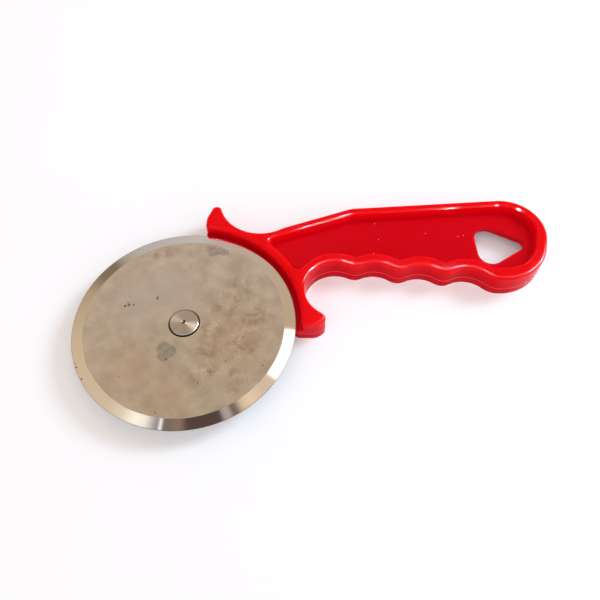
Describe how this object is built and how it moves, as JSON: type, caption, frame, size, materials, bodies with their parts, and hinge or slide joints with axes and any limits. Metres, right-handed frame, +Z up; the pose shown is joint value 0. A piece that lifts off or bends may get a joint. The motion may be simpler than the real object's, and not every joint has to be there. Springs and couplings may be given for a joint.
{
  "type": "pizza cutter",
  "caption": "Hand-held wheel cutter: a bevelled steel disc turns on a riveted axle beside a moulded plastic handle with a curved guard, finger grooves and a hang hole.",
  "frame": {"origin": "centre of the bounding box in plan, on the underside that the cutter lies on", "axes": "+X along the grip, away from the wheel; +Y towards the back of the grip; +Z up along the wheel's axle, from the arm to the rivet's head"},
  "size_m": [0.222, 0.1196, 0.013],
  "materials": {
    "handle_plastic": "moulded, glossy red",
    "wheel_steel": "satin face, polished bevel",
    "rivet_steel": "turned"
  },
  "bodies": {
    "handle": {"handle": "handle_plastic", "axle_rivet": "rivet_steel", "spacer_washer": "rivet_steel", "back_washer": "rivet_steel"},
    "wheel": {"cutting_wheel": "wheel_steel"}
  },
  "joints": [
    {"name": "wheel_spin", "type": "hinge", "parent": "handle", "child": "wheel", "pos_m": [-0.06097, -0.00976, 0.00855], "axis": [0, 0, 1], "continuous": true}
  ]
}
